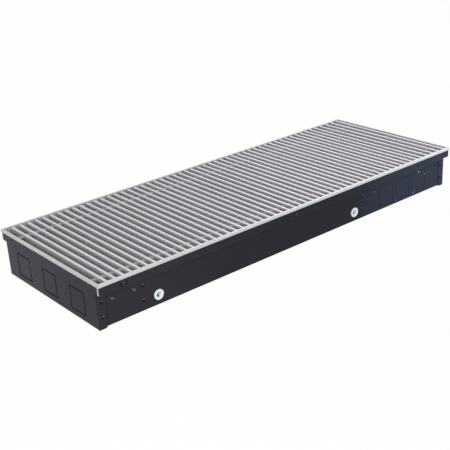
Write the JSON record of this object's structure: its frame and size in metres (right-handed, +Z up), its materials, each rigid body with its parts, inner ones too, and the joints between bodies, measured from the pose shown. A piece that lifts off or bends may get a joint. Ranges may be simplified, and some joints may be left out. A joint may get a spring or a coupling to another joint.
{
  "type": "trench convector heater",
  "caption": "Long shallow black sheet-steel trough with a finned-tube heating coil inside, topped by a linked aluminium bar grille in a mitred aluminium rim.",
  "frame": {"origin": "middle of the footprint, on the floor that the trough stands on", "axes": "+X along the trough towards the end with the pipe connections, +Y across it to the back long side, +Z up"},
  "size_m": [1, 0.365, 0.0975],
  "materials": {
    "powder_coat": "satin black powder coat on folded steel sheet",
    "anodised": "natural satin anodised aluminium",
    "sleeve": "plain aluminium sleeve",
    "fin_sheet": "thin bright aluminium sheet",
    "zinc": "zinc plated steel",
    "copper": "drawn copper tube",
    "brass": "machined brass",
    "nylon": "white nylon",
    "foam_rubber": "black foam rubber strip"
  },
  "bodies": {
    "heater": {"trough": "powder_coat", "end_plate_left": "powder_coat", "end_plate_right": "powder_coat", "end_plate_rivets": "powder_coat", "rim_side_screws": "powder_coat", "rim_end_screws": "powder_coat", "bracket_rivets": "powder_coat", "rim_front": "anodised", "rim_back": "anodised", "rim_left": "anodised", "rim_right": "anodised", "coil_fins": "fin_sheet", "coil_bracket_left": "zinc", "coil_bracket_right": "zinc", "connection_bracket": "zinc", "connection_bracket_rivets": "zinc", "side_inserts": "powder_coat", "levelling_nuts": "zinc", "coil_tubes": "copper", "return_bends_left": "copper", "return_bend_right": "copper", "supply_connector": "brass", "return_connector": "brass", "air_vent_body": "brass", "side_plugs": "nylon", "damping_strip_front": "foam_rubber", "damping_strip_back": "foam_rubber"},
    "grille": {"grille_bars": "anodised", "grille_rods": "zinc", "grille_spacers": "sleeve", "grille_rod_nuts": "zinc"},
    "vent_screw": {"air_vent_screw": "brass"},
    "leveller_front_left": {"levelling_screw_front_left": "zinc"},
    "leveller_front_right": {"levelling_screw_front_right": "zinc"},
    "leveller_back_left": {"levelling_screw_back_left": "zinc"},
    "leveller_back_right": {"levelling_screw_back_right": "zinc"}
  },
  "joints": [
    {"name": "grille_lift", "type": "slide", "parent": "heater", "child": "grille", "axis": [0, 0, 1], "range_m": [0, 0.15]},
    {"name": "vent_turn", "type": "hinge", "parent": "heater", "child": "vent_screw", "pos_m": [0.26875, -0.045, 0.062], "axis": [0, 0, 1], "range_deg": [0, 540]},
    {"name": "leveller_front_left_travel", "type": "slide", "parent": "heater", "child": "leveller_front_left", "axis": [0, 0, -1], "range_m": [0, 0.03]},
    {"name": "leveller_front_right_travel", "type": "slide", "parent": "heater", "child": "leveller_front_right", "axis": [0, 0, -1], "range_m": [0, 0.03]},
    {"name": "leveller_back_left_travel", "type": "slide", "parent": "heater", "child": "leveller_back_left", "axis": [0, 0, -1], "range_m": [0, 0.03]},
    {"name": "leveller_back_right_travel", "type": "slide", "parent": "heater", "child": "leveller_back_right", "axis": [0, 0, -1], "range_m": [0, 0.03]}
  ]
}
